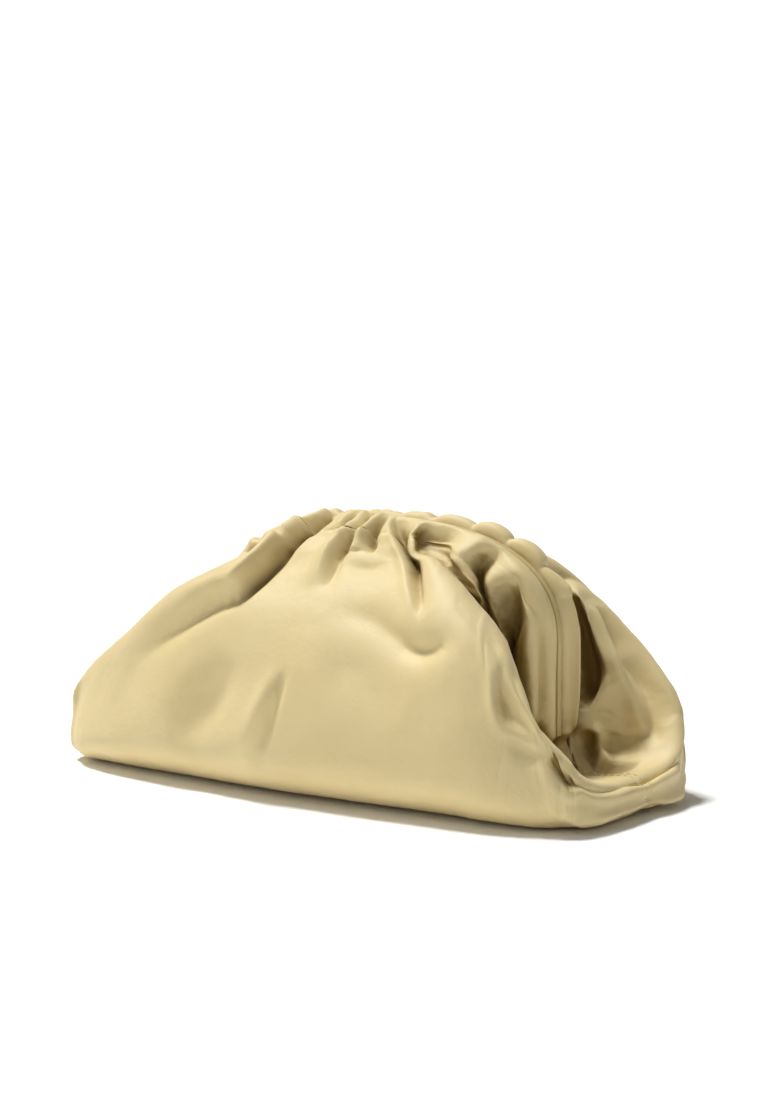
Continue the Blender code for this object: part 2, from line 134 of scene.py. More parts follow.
def newMaterial(name):
    made = bpy.data.materials.new(name)
    made.use_nodes = True
    return made, made.node_tree, made.node_tree.nodes["Principled BSDF"].inputs


# the camera, which also places the folds that are set by what it sees

eye = {
    "place": (0.9759, -1.3868, 0.3697),
    "look": (-0.5679, 0.8113, -0.1387),
    "lens": 97.7,
    "width": 762,  # the picture's size, which the places of folds are given in
    "height": 1100,
    "sensor": 36,
}


eyeLook = np.array(eye["look"]) / np.linalg.norm(eye["look"])
eyeRight = np.cross(eyeLook, (0, 0, 1))
eyeRight /= np.linalg.norm(eyeRight)
eyeUp = np.cross(eyeRight, eyeLook)
eyeFocal = eye["lens"] / eye["sensor"] * eye["height"]


def seenAt(px, py, y):
    # the point with that y that the camera sees at a place in the picture
    across = (px - eye["width"] / 2) / eyeFocal
    up = (eye["height"] / 2 - py) / eyeFocal
    ray = eyeLook + eyeRight * across + eyeUp * up
    return np.array(eye["place"]) + ray * ((y - eye["place"][1]) / ray[1])


def inPicture(points):
    # where in the picture each point is, and how far from the camera
    offset = points - np.array(eye["place"])
    far = offset @ eyeLook
    px = offset @ eyeRight / far * eyeFocal + eye["width"] / 2
    py = eye["height"] / 2 - offset @ eyeUp / far * eyeFocal
    return px, py, far


# the arch of the frame

arch = {
    "baseX": 0.0135,  # the frame's middle
    "half": 0.114,
    "top": 0.1545,
    "shoulderFoot": 0.090,
    "armFoot": 0.038,
    "power": 2.4,
}


def archPath():
    turn = np.linspace(0, math.pi / 2, 600)
    x = arch["half"] * np.sin(turn) ** (2 / arch["power"])
    z = arch["shoulderFoot"] + (arch["top"] - arch["shoulderFoot"]) * np.cos(turn) ** (2 / arch["power"])
    armZ = np.linspace(arch["shoulderFoot"], arch["armFoot"], 100)[1:]
    x = np.concatenate([x, np.full(len(armZ), arch["half"])])
    z = np.concatenate([z, armZ])
    return np.concatenate([[0], np.cumsum(np.hypot(np.diff(x), np.diff(z)))]), x, z


pathLength, pathX, pathZ = archPath()
armPlace = pathLength[-1]


def onArch(along):
    # point and outward normal where along is 0 at the top and 1 at the arm's foot
    at = np.clip(along, 0, 1) * armPlace
    x, z = np.interp(at, pathLength, pathX), np.interp(at, pathLength, pathZ)
    before, after = np.maximum(at - 0.002, 0), np.minimum(at + 0.002, armPlace)
    dx = np.interp(after, pathLength, pathX) - np.interp(before, pathLength, pathX)
    dz = np.interp(after, pathLength, pathZ) - np.interp(before, pathLength, pathZ)
    size = np.hypot(dx, dz)
    return x, z, -dz / size, dx / size


# the leather's form

leather = {
    "columns": 520,  # grid lines along the frame, and how many of them lie past its ends
    "endColumns": 20,
    "wrapRows": 20,  # grid rows round the bar, and from there to the base's middle
    "bodyRows": 160,
    "slitHalf": 0.0024,
    "wrapWidth": 0.0101,
    "wrapInside": 0.0090,
    "wrapOutside": 0.0090,
    "earlyLeave": 1.0,  # radians before vertical, where the gathered top leaves the bar
    "spreadRight": (0.1, 0.35),  # where along the frame that ends, at the right and at the left
    "spreadLeft": (0.25, 0.5),
    "stripAlong": (0.42, 0.60),  # where the strip beside the arm begins
    "stripY": 0.0255,  # the padded strip beside the front arm: its edge, and how it turns under
    "stripR": -0.014,
    "tuckY": 0.013,
    "tuckR": -0.026,
    "casing": 0.012,  # the back wrap goes this much further down
    "edgeShare": 0.35,  # of the way from the bar to the valley
    "tuckShare": 0.65,
    "innerShare": 0.55,  # of the way from the valley to the crest
    "innerSink": 0.010,
    "upperSwell": 0.010,  # outwards and up between crest and belly
    "lowSwell": 0.022,  # outwards between belly and foot
    "seamAt": 1.10,
    "seed": 4,
}

# section stations in mm: along, then valley, crest, belly and foot as x, y, z
sectionNames = (
    "along", "valleyX", "valleyY", "valleyZ", "crestX", "crestY", "crestZ",
    "bellyX", "bellyY", "bellyZ", "footX", "footY", "footZ",
)
frontRight = (
    (0.00, 0, 26, 143, 0, 39, 133, 0, 90, 58, 0, 65, 0),
    (0.15, 33, 26, 142, 38, 40, 132, 50, 90, 58, 52, 65, 0),
    (0.30, 46, 21, 122, 58, 41, 136, 90, 88, 58, 94, 64, 0),
    (0.45, 52, 20, 98, 82, 49, 126, 118, 82, 55, 121, 61, 0),
    (0.60, 62, 18, 82, 104, 54, 106, 136, 74, 50, 139, 55, 0),
    (0.72, 70, 18, 68, 118, 57, 84, 147, 68, 44, 150, 51, 0),
    (0.86, 80, 20, 50, 128, 57, 60, 157, 62, 33, 156, 48, 0),
    (1.00, 108, 22, 36, 150, 52, 37, 166, 54, 18, 162, 43, 1),
    (1.05, 114, 12, 27, 161, 42, 25, 170, 38, 12, 165, 32, 2),
    (1.10, 122, 0, 22, 166, 0, 22, 171, 0, 11, 167, 0, 3),
)
backRight = (
    (0.00, 0, 26, 143, 0, 39, 133, 0, 90, 58, 0, 65, 0),
    (0.15, 33, 26, 142, 38, 40, 132, 52, 90, 58, 52, 62, 0),
    (0.30, 58, 25, 136, 69, 41, 135, 92, 86, 60, 94, 61, 0),
    (0.45, 76, 22, 114, 92, 47, 124, 120, 78, 57, 121, 56, 0),
    (0.60, 90, 24, 94, 114, 50, 103, 136, 70, 52, 138, 50, 0),
    (0.72, 98, 25, 76, 131, 51, 82, 147, 63, 47, 150, 44, 1),
    (0.86, 103, 24, 56, 150, 50, 60, 157, 56, 38, 160, 38, 3),
    (1.00, 110, 18, 36, 162, 44, 36, 162, 46, 24, 166, 31, 5),
    (1.05, 114, 10, 27, 166, 30, 25, 171, 28, 14, 170, 22, 5),
    (1.10, 122, 0, 22, 166, 0, 22, 171, 0, 11, 167, 0, 3),
)
leftHalf = (
    (0.00, 0, 26, 143, 0, 39, 133, 0, 90, 58, 0, 65, 0),
    (0.15, 33, 26, 142, 38, 40, 132, 52, 90, 58, 52, 67, 0),
    (0.30, 58, 26, 138, 71, 41, 136, 94, 86, 60, 96, 68, 0),
    (0.45, 76, 22, 113, 94, 47, 123, 126, 80, 57, 130, 67, 0),
    (0.60, 90, 24, 94, 121, 52, 101, 150, 74, 52, 158, 64, 0),
    (0.72, 98, 25, 76, 146, 53, 79, 168, 68, 44, 173, 58, 0),
    (0.86, 103, 24, 56, 174, 52, 55, 186, 60, 32, 181, 50, 0),
    (1.00, 110, 18, 36, 190, 44, 31, 195, 47, 20, 185, 38, 0),
    (1.05, 114, 10, 27, 194, 28, 24, 199, 28, 16, 187, 24, 0),
    (1.10, 122, 0, 22, 194, 0, 21, 199, 0, 16, 187, 0, 0),
)


def wrapSection(rows, spread):
    # y and height over the bar, from the edge inside the mouth over the bar and down its outer side
    radius = leather["wrapWidth"] / 2
    inside, outside = leather["wrapInside"] - radius, leather["wrapOutside"] - radius
    total = inside + math.pi * radius + outside
    lastTurn = math.pi - leather["earlyLeave"] * spread
    section = []
    for k in range(rows + 1):
        at = total * k / rows
        turn = np.clip((at - inside) / radius, 0, lastTurn)
        beyond = np.maximum(at - inside - lastTurn * radius, 0)
        y = leather["slitHalf"] + radius * (1 - np.cos(turn)) + beyond * np.sin(lastTurn)
        r = -radius + radius * np.sin(turn) + beyond * np.cos(lastTurn)
        section.append(np.stack([y, r + min(at - inside, 0)], -1))
    return np.array(section)


def quarter(table, spreadEnds, stripEnds, strip, along):
    # points (column, row, xyz) of one quarter of the leather, x and y both positive
    wrapRows, bodyRows = leather["wrapRows"], leather["bodyRows"]
    table = np.array(table, float)
    named = splineThrough(table[:, 0], table[:, 1:] * mm, along)
    named = dict(zip(sectionNames[1:], named.T))
    x, z, nx, nz = onArch(along)
    closing = np.clip((along - 1) / (leather["seamAt"] - 1), 0, 1)

    def at(name):
        return np.stack([named[name + "X"], named[name + "Y"], named[name + "Z"]], -1)

    def beside(y, r):
        return np.stack([x + r * nx, np.full_like(x, y), z + r * nz], -1)

    spread = 1 - smooth((along - spreadEnds[0]) / (spreadEnds[1] - spreadEnds[0]))
    section = wrapSection(wrapRows, spread)
    wrap = [np.stack([x + s[:, 1] * nx, s[:, 0], z + s[:, 1] * nz], -1) for s in section]
    under = np.stack([x - 0.010, np.zeros_like(x), z - 0.010], -1)
    ease = (closing**0.6)[:, None]
    valley, crest, belly, foot = at("valley"), at("crest"), at("belly"), at("foot")
    wrap = [lerp(w, lerp(under, valley, k / wrapRows), ease) for k, w in enumerate(wrap)]
    recess = (np.clip((along - 0.15) / 0.3, 0, 1) * (1 - closing))[:, None]
    arm = smooth((along - stripEnds[0]) / (stripEnds[1] - stripEnds[0]))
    arm = (arm * (1 - smooth((along - 0.9) / 0.12)))[:, None]
    leave = wrap[-1]
    heading = leave - wrap[-2]
    heading /= np.linalg.norm(heading, axis=1, keepdims=True)
    straight = leave + heading * 0.004
    edge = lerp(leave, valley, leather["edgeShare"])
    tuck = lerp(leave, valley, leather["tuckShare"])
    if strip:
        straight = lerp(straight, beside(0.0175, -0.0065), arm)
        edge = lerp(edge, beside(leather["stripY"], leather["stripR"]), arm)
        tuck = lerp(tuck, beside(leather["tuckY"], leather["tuckR"]), arm)
    else:
        edge = lerp(edge, leave + heading * leather["casing"] * 0.6, arm)
        tuck = lerp(tuck, leave + heading * leather["casing"] * 1.5, arm)
    inner = lerp(valley, crest, leather["innerShare"])
    inner[:, 2:] -= leather["innerSink"] * recess
    upper = lerp(crest, belly, 0.5)
    upper[:, 1:] += leather["upperSwell"] * (1 - closing)[:, None]
    low = lerp(belly, foot, 0.65)
    low[:, 1] += leather["lowSwell"] * (1 - closing)
    low[:, 2] *= 0.6
    underFoot = foot * np.array([0.96, 0.7, 0.5])
    middle = foot * np.array([0.90, 0.35, 0.5])
    centre = foot * np.array([0.88, 0.0, 0.5])
    upperControl = [leave, straight, edge, tuck, valley, inner, crest]
    lowerControl = [upper, belly, low, foot, underFoot, middle, centre]
    control = np.stack(upperControl + lowerControl, 1)
    # rows close together near the frame, where the folds are tight
    down = np.linspace(0, 1, bodyRows + 1)[1:]
    down = 0.62 * down + 0.38 * down**3
    body = np.einsum("rk,ckd->crd", bsplineWeights(control.shape[1], down), control)
    points = np.concatenate([np.stack(wrap, 1), body], 1)
    points[:, :, 2] = np.maximum(points[:, :, 2], 0)
    return points, down


def surfaceNormals(points, outward):
    # smoothed outward normals and how tightly each column is hollowed
    row = np.arange(points.shape[1])
    reach = np.where(row < leather["wrapRows"], 3, 6)
    before, after = np.maximum(row - reach, 0), np.minimum(row + reach, row[-1])
    down = points[:, after] - points[:, before]
    normal = np.cross(np.gradient(points, axis=0), down) * outward
    normal /= np.maximum(np.linalg.norm(normal, axis=2, keepdims=True), 1e-9)
    turn = normal[:, after] - normal[:, before]
    hollow = -(turn * down).sum(2) / np.maximum((down * down).sum(2), 1e-9)
    return normal, np.maximum(hollow, 0)


# lines that the leather passes through at the right end, one for each fold. The columns are px, py, y,
# along and below: the place in the picture, mm behind the frame's middle, and where on the leather that
# is, in mm along the frame and mm below the bar's top
frontGuides = {
    "lobeEdge": (
        (430, 517, -10, 32, 1), (418, 526, -16, 28, 8), (413, 536, -22, 27, 18),
        (416, 548, -29, 32, 27), (429, 557, -34, 45, 40), (446, 571, -39, 63, 61),
        (463, 586, -43, 81, 83), (480, 603, -47, 97, 100), (494, 620, -51, 111, 111),
        (507, 642, -55, 124, 118), (514, 662, -58, 136, 123), (523, 690, -62, 150, 126),
        (530, 712, -64, 161, 125), (533, 729, -66, 171, 122),
    ),
    "lobeBack": (
        (420, 532, -13, 31, 11), (420, 545, -15, 36, 20), (432, 555, -20, 49, 32),
        (447, 570, -26, 66, 52), (463, 585, -30, 84, 73), (480, 602, -34, 99, 90),
        (494, 619, -37, 113, 101), (508, 641, -39, 126, 108), (515, 664, -43, 138, 113),
        (524, 692, -50, 151, 118), (530, 712, -58, 161, 121),
    ),
    "underBar": (
        (430, 529, -12.4, 36, 8), (443, 530, -12.2, 44, 8), (457, 533, -12.2, 53, 8),
    ),
    "firstHollow": (
        (434, 539, -12.4, 39, 14), (445, 542, -12.4, 46, 15), (445, 553, -15, 49, 26),
        (450, 563, -21, 56, 38),
    ),
    "firstRim": (
        (490, 532, -9, 71, 1), (477, 534, -14, 66, 5), (463, 540, -20, 62, 11), (455, 548, -25, 60, 19),
        (451, 557, -28, 59, 28), (455, 568, -30, 64, 42), (464, 582, -32, 73, 57),
        (476, 597, -34, 85, 73),
    ),
    "firstBand": (
        (497, 545, -13, 81, 4), (483, 546, -18, 76, 8), (473, 550, -23, 72, 15),
        (468, 558, -26, 70, 24), (470, 570, -28, 74, 36), (476, 583, -29, 80, 48),
        (484, 599, -31, 90, 62),
    ),
    "secondHollow": (
        (499, 553, -13, 84, 7), (488, 556, -14, 79, 13), (480, 563, -16, 77, 22),
        (479, 575, -17, 80, 32), (483, 589, -19, 88, 43), (490, 604, -22, 97, 52),
    ),
    "secondRim": (
        (520, 558, -10, 94, 1), (508, 560, -15, 91, 6), (497, 567, -19, 89, 13),
        (487, 576, -23, 90, 21), (484, 587, -25, 93, 29), (485, 600, -25, 99, 37),
        (491, 615, -25, 109, 43), (499, 633, -24, 123, 47), (508, 652, -22, 141, 49),
    ),
    "secondBand": (
        (519, 572, -18, 101, 7), (509, 577, -20, 99, 13), (502, 589, -21, 103, 21),
        (502, 603, -20, 109, 27), (506, 620, -18, 121, 32), (511, 637, -16, 136, 35),
    ),
    "thirdHollow": (
        (514, 593, -15, 106, 19), (515, 606, -13.5, 113, 24), (518, 620, -12.8, 123, 27),
        (518, 634, -12.4, 135, 29), (514, 650, -12.3, 149, 33),
    ),
    "stripEdge": (
        (519, 586, -18, 107, 13), (521, 600, -20, 115, 17), (525, 615, -22, 125, 19),
        (525, 628, -23, 134, 20), (521, 641, -23, 143, 22), (517, 656, -22, 152, 25),
    ),
    "stripMiddle": (
        (533, 602, -17.5, 120, 8), (537, 625, -16.8, 134, 12), (538, 655, -16.5, 151, 13),
        (538, 690, -16.5, 171, 13), (538, 725, -16.5, 190, 10),
    ),
    "stripRight": (
        (545, 612, -12.8, 127, 5), (548, 640, -12.3, 143, 5), (548, 680, -12.3, 166, 5),
        (548, 720, -12.3, 188, 5),
    ),
}
backGuides = {
    "rim": (
        (578, 596, 33, 104, 58), (585, 610, 33, 112, 62), (589, 624, 34, 121, 65),
        (595, 640, 34, 131, 68), (603, 656, 34, 140, 71), (613, 663, 37, 146, 75),
        (607, 677, 34, 153, 71), (598, 692, 29, 163, 63), (590, 706, 25, 175, 54),
        (584, 722, 20, 188, 38), (579, 740, 15, 198, 24),
    ),
    "hollow": (
        (580, 610, 46, 107, 44), (583, 624, 47, 116, 45), (587, 642, 47, 128, 46),
        (592, 662, 46, 143, 47), (593, 682, 43, 156, 44), (588, 695, 37, 167, 38),
    ),
    "wrapEdge": (
        (570, 588, 9, 119, 3), (576, 610, 10, 128, 6), (578, 640, 10, 144, 8), (578, 680, 10, 166, 8),
        (576, 712, 9.5, 184, 8), (572, 738, 9, 197, 7),
    ),
}


guiding = {
    "along": (-0.02, 0.23),  # the leather that may move, in metres along the frame and down
    "down": (0.004, 0.20),
    "stopParts": 5,  # places along a guide for each of its stops
    "anchorStep": 0.009,
    "anchorGap": 0.010,  # no anchor is nearer to a guide than this
    "round": 0.004,  # how softly the leather turns at a guide
    "slack": 0.0008,  # how far it may miss one
    "evenings": 6,
}


def guided(points, place, guides):
    # moves the surface smoothly through the guide lines. Anchors hold it round about.
    first = np.searchsorted(place, 0.0)
    wrapRows = leather["wrapRows"]
    barTop = wrapRows // 2
    steps = np.linalg.norm(np.diff(points, axis=1), axis=2)
    length = np.concatenate([np.zeros((len(points), 1)), np.cumsum(steps, axis=1)], axis=1)
    metric = np.stack([np.broadcast_to(place[:, None], length.shape), length], -1)
    at, moves = [], []
    for stops in guides.values():
        stops = np.array(stops, float)
        knots = np.arange(len(stops), dtype=float)
        parts = guiding["stopParts"]
        pins = splineThrough(knots, stops, np.linspace(0, knots[-1], parts * len(stops) - parts + 1))
        for px, py, y, along, below in pins:
            column = np.searchsorted(place, along * mm)
            row = np.searchsorted(length[column], length[column, barTop] + below * mm)
            at.append(metric[column, row])
            moves.append(seenAt(px, py, y * mm) - points[column, row])
    at, moves = np.array(at), np.array(moves)
    spans = [np.arange(*guiding[side], guiding["anchorStep"]) for side in ("along", "down")]
    ground = np.stack(np.meshgrid(*spans, indexing="ij"), -1).reshape(-1, 2)
    apart = np.sqrt(((ground[:, None] - at[None]) ** 2).sum(2)).min(1)
    anchors = ground[apart > guiding["anchorGap"]]
    at = np.concatenate([at, anchors])
    moves = np.concatenate([moves, np.zeros((len(anchors), 3))])

    def kernel(a, b):
        return np.sqrt(((a[:, None] - b[None]) ** 2).sum(2) + guiding["round"] ** 2)

    weights = np.linalg.solve(kernel(at, at) - np.eye(len(at)) * guiding["slack"], moves)
    field = np.zeros_like(points)
    for k in range(first, len(points)):
        field[k] = kernel(metric[k], at) @ weights
    # none of it reaches the mouth's edge, the left half, the base or the side seam
    row = np.arange(points.shape[1])
    window = smooth((row - wrapRows * 0.45) / (wrapRows * 0.3))[None, :] * smooth(place / 0.02)[:, None]
    window = window * smooth((guiding["down"][1] - length) / 0.03)
    window = window * smooth((armPlace + 0.004 - place) / 0.012)[:, None]
    return points + evened(field * window[:, :, None], guiding["evenings"])


# creases: crisp lines over the leather. The columns are px, py, left, right, depth and bank: the place in
# the picture, the width in mm on each side of the line seen with its start up, the depth in mm, and how
# many mm the leather is heaped up on the left (negative: on the right)
seenCreases = {
    "bigFold": (
        (343, 507, 2.5, 1.8, 4, 2), (330, 518, 3.5, 2, 6, 5), (304, 535, 4.2, 2.4, 8, 9),
        (279, 556, 4.8, 2.6, 9, 12), (258, 578, 4.8, 2.6, 9, 13), (240, 593, 5.2, 2.8, 9, 12),
        (218, 604, 6, 3.5, 8, 10), (190, 618, 7, 5, 7, 7), (160, 640, 8, 7, 4, 3),
        (132, 662, 7, 7, 0, 0),
    ),
    "upperPleat": (
        (317, 508, 2.5, 1.5, 3, 2), (308, 513, 3, 1.5, 4, 3), (298, 521, 3, 2, 3, 2),
        (267, 542, 4, 4, 2, 1), (240, 560, 5, 5, 0, 0),
    ),
    "farPleat": (
        (256, 532, 2.5, 2, 4, 2), (252, 545, 3, 3, 3, 2), (240, 560, 5, 4, 0, 0),
    ),
    "leftPleat": (
        (284, 518, 2.5, 1.5, 4, 2), (276, 524, 3, 2, 4, 3), (262, 535, 4, 3, 0, 0),
    ),
    "shortPleat": (
        (362, 511, 2, 1.2, 2.5, 1), (352, 520, 2.5, 1.5, 4, 3), (345, 528, 2.5, 1.5, 4, 3),
        (338, 534, 3, 2, 0, 0),
    ),
    "longPleat": (
        (381, 509, 2.5, 1.5, 2, 1), (368, 520, 3, 1.8, 5, 3), (355, 535, 3.5, 2, 6, 6),
        (345, 546, 4, 2, 6, 7), (338, 556, 4, 2.5, 5, 6), (330, 574, 5, 3, 4, 3),
        (320, 590, 5, 4, 0, 0),
    ),
    "deepPleat": (
        (388, 516, 2.5, 1.5, 3, 1), (378, 525, 3, 1.8, 6, 4), (372, 537, 4, 2, 8, 6),
        (369, 546, 4, 3, 4, 2), (367, 551, 4, 4, 0, 0),
    ),
    "lobeValley": (
        (394, 520, 1.5, 4, 3, 0.5), (397, 530, 1.8, 6, 9, 1.5), (403, 545, 2, 6, 12, 2),
        (409, 562, 2, 5, 11, 2), (413, 580, 2, 5, 9, 2), (417, 598, 2.2, 5, 6, 1.5),
        (420, 614, 3, 5, 0, 0),
    ),
    "lowCrease": (
        (286, 672, 4, 3, 0, 0), (281, 692, 4, 2, 3, 2.5), (272, 718, 4.5, 2, 4.5, 4),
        (263, 742, 5, 2.5, 4, 3), (254, 768, 5, 4, 0, 0),
    ),
    "bellyFold": (
        (328, 603, 7, 7, 0, 0), (352, 609, 8, 8, 3, 0), (375, 622, 9, 8, 7, 0), (398, 637, 9, 7, 11, 0),
        (420, 643, 8, 6, 11, 0), (440, 645, 6, 4, 6, 0), (457, 644, 5, 3, 0, 0),
    ),
    "pocketEdge": (
        (502, 660, 3, 7, 0, 0), (502, 685, 2.5, 9, 5, 2), (503, 706, 2.5, 9, 7, 2.5),
        (509, 719, 2.5, 8, 6.5, 2.5), (520, 726, 2.5, 6, 5, 2), (532, 732, 2.5, 4, 2, 1),
    ),
    "cornerFold": (
        (549, 755, 3, 3, 0, 0), (553, 765, 3, 6, 4, 1.5), (562, 775, 3, 8, 8, 2.5),
        (573, 781, 3, 6, 7, 2.5), (584, 785, 2, 4, 4, 1.5), (592, 790, 2, 3, 2, 1),
        (612, 790, 2, 4, 3, 1.5), (628, 786, 2, 4, 3.5, 1.5), (645, 780, 2, 4, 5, 2),
        (660, 772, 2, 4, 6, 2), (675, 765, 2, 4, 4, 1),
    ),
    "backLobeLine": (
        (600, 603, 3, 5, 0, 0), (605, 614, 2.5, 7, 4, 2.5), (613, 631, 2.5, 8, 6, 4),
        (627, 663, 3, 9, 7, 4.5), (643, 697, 3, 9, 6, 4), (653, 730, 3, 7, 4, 2),
        (657, 745, 3, 5, 0, 0),
    ),
    "curl": (
        (590, 725, 4, 2, 0, 0), (593, 738, 5, 2, 5, -4), (596, 753, 5, 2, 8, -5),
        (604, 764, 5, 2, 8, -5), (624, 767, 5, 2, 6, -4), (646, 764, 4, 3, 0, 0),
    ),
    "wrapSeam": (
        (541, 581, 1.5, 1.2, 0, 0), (549, 600, 1.5, 1.2, 2, 0), (555, 630, 1.5, 1.2, 2.5, 0),
        (557, 665, 1.5, 1.2, 2.5, 0), (557, 700, 1.5, 1.2, 2.5, 0), (557, 736, 1.5, 1.2, 1.5, 0),
    ),
    "wallFootRise": (
        (588, 826, 3, 3, 0, 0), (604, 817, 3, 3, -2.5, 0), (630, 808, 3, 3, -3, 0),
        (650, 803, 3, 3, -3, 0), (667, 799, 3, 3, -3.5, 0), (682, 796, 3, 3, -3, 0),
    ),
    "wallFootShade": (
        (596, 828, 3, 3, 0, 0), (610, 822, 3, 3, 3, 0), (634, 814, 3, 3, 4, 0), (655, 809, 3, 3, 4, 0),
        (674, 804, 3, 3, 3, 0),
    ),
}
# dents: soft hollows along a line. The columns are px, py, width and depth, the last two in mm
seenDents = {
    "underPleats": (
        (340, 563, 4, 0), (354, 565, 4, 2), (370, 566, 4, 2.2), (387, 563, 4, 0),
    ),
    "bellySlope": (
        (318, 652, 9, 0), (345, 672, 12, 3), (372, 692, 12, 3), (402, 716, 9, 0),
    ),
    "leftBelly": (
        (240, 655, 14, 0), (216, 690, 15, 6), (195, 715, 15, 6.5), (172, 742, 13, 0),
    ),
    "besideCorner": (
        (505, 738, 4, 0), (520, 750, 5, 2.5), (535, 753, 5, 3), (546, 750, 4, 0),
    ),
    "curlInside": (
        (601, 742, 4, 0), (612, 746, 6, 4), (630, 738, 8, 5), (647, 730, 6, 3), (655, 722, 4, 0),
    ),
    "backLobe": (
        (620, 625, 6, 0), (640, 665, 8, 2.5), (658, 698, 8, 3), (676, 720, 6, 0),
    ),
}
# creases on the back, which the picture doesn't show. The columns are along, down, left, right, depth and
# bank: mm along the frame, percent of the way from the bar to the base's middle, and the rest as above
backCreases = {
    "rightFan": (
        (24, -8, 3, 3, 2, -1), (32, 22, 3, 9, 8, -4), (44, 42, 3, 12, 9, -4), (70, 52, 4, 11, 7, -3),
        (104, 58, 5, 8, 0, 0),
    ),
    "leftFan": (
        (-20, -8, 3, 3, 2, 1), (-30, 22, 9, 3, 7, 3), (-46, 42, 12, 3, 8, 3), (-76, 53, 11, 4, 6, 3),
        (-108, 58, 8, 5, 0, 0),
    ),
    "middlePleat": (
        (2, -8, 3, 3, 2, 1), (4, 24, 6, 3, 5, 2), (12, 42, 7, 3, 4, 2), (18, 52, 8, 3, 0, 0),
    ),
    "lowCrease": (
        (6, 54, 8, 3, 0, 0), (10, 60, 12, 2.5, 5, 1), (18, 66, 9, 3, 0, 0),
    ),
}
creaseShape = {
    "crease": 1.25,  # its section: 1 is a sharp line, 2 a round hollow
    "dent": 2.0,
    "reach": 3.4,  # how many widths away it is still felt
    "least": 0.0009,  # the narrowest width that the grid can show
    "leastBank": 0.0015,
    "bankAway": 2.0,  # the heaped leather's middle and half its breadth, in widths
    "bankBroad": 1.5,
    "pixels": 4,  # how near to its place in the picture the leather has to be
    "layer": 0.008,  # leather this far behind the nearest is another fold
}


def visiblePoint(faces, px, py):
    # the point of the leather, and its outward normal, that the camera sees at a place in the picture
    best = None
    for points, normals, picture in faces:
        x, y, far = picture
        apart = (x - px) ** 2 + (y - py) ** 2
        apart = np.where((normals @ eyeLook) < 0.05, apart, 1e6)
        near = apart < creaseShape["pixels"] ** 2
        if near.any():
            front = far[near].min()
            apart = np.where(far < front + creaseShape["layer"], apart, 1e6)
        k = np.unravel_index(apart.argmin(), apart.shape)
        score = (apart[k] > creaseShape["pixels"] ** 2, far[k])
        if best is None or score < best[0]:
            best = (score, points[k], normals[k])
    return best[1], best[2]


def creaseLine(ends, normals, stops):
    # points, normals and sizes along one crease, close together
    knots = np.arange(len(ends), dtype=float)
    values = np.concatenate([np.array(ends), np.array(normals), np.array(stops, float)], 1)
    return splineThrough(knots, values, np.linspace(0, knots[-1], 10 * len(ends)))


def creaseHeights(points, normals, lines):
    # how far the leather moves along its normal beside each line
    height = np.zeros(points.shape[:2])
    for line, power in lines:
        reach = creaseShape["reach"] * line[:, 6:8].max() * mm + 0.002
        low, high = line[:, :3].min(0) - reach, line[:, :3].max(0) + reach
        near = ((points > low) & (points < high)).all(2)
        spots, facing = points[near], normals[near]
        if not len(spots):
            continue
        start, step = line[:-1, :3], np.diff(line[:, :3], axis=0)
        offset = spots[:, None] - start[None]
        share = np.clip((offset * step).sum(2) / (step**2).sum(1), 0, 1)
        away = offset - share[:, :, None] * step[None]
        distance = np.linalg.norm(away, axis=2)
        k = distance.argmin(1)
        pick = np.arange(len(spots))
        distance, away, share = distance[pick, k], away[pick, k], share[pick, k]
        sizes = lerp(line[k], line[k + 1], share[:, None])
        left = np.cross(step[k], sizes[:, 3:6])
        left /= np.maximum(np.linalg.norm(left, axis=1, keepdims=True), 1e-9)
        side = (away * left).sum(1) / np.maximum(distance, 1e-6)
        side = np.clip(side * 1.4, -1, 1) * 0.5 + 0.5
        wideLeft, wideRight, depth, bank = (sizes[:, 6 + n] * mm for n in range(4))
        width = np.maximum(lerp(wideRight, wideLeft, smooth(side)), creaseShape["least"])
        change = -depth * np.exp(-((distance / width) ** power))
        bankWidth = np.maximum(np.where(bank > 0, wideLeft, wideRight), creaseShape["leastBank"])
        bankSide = np.where(bank > 0, side, 1 - side)
        offset = (distance - creaseShape["bankAway"] * bankWidth) / (creaseShape["bankBroad"] * bankWidth)
        change += np.abs(bank) * np.exp(-(offset**2)) * smooth(bankSide * 2 - 1)
        same = smooth(((facing * sizes[:, 3:6]).sum(1) - 0.1) / 0.4)
        height[near] += change * same
    return height


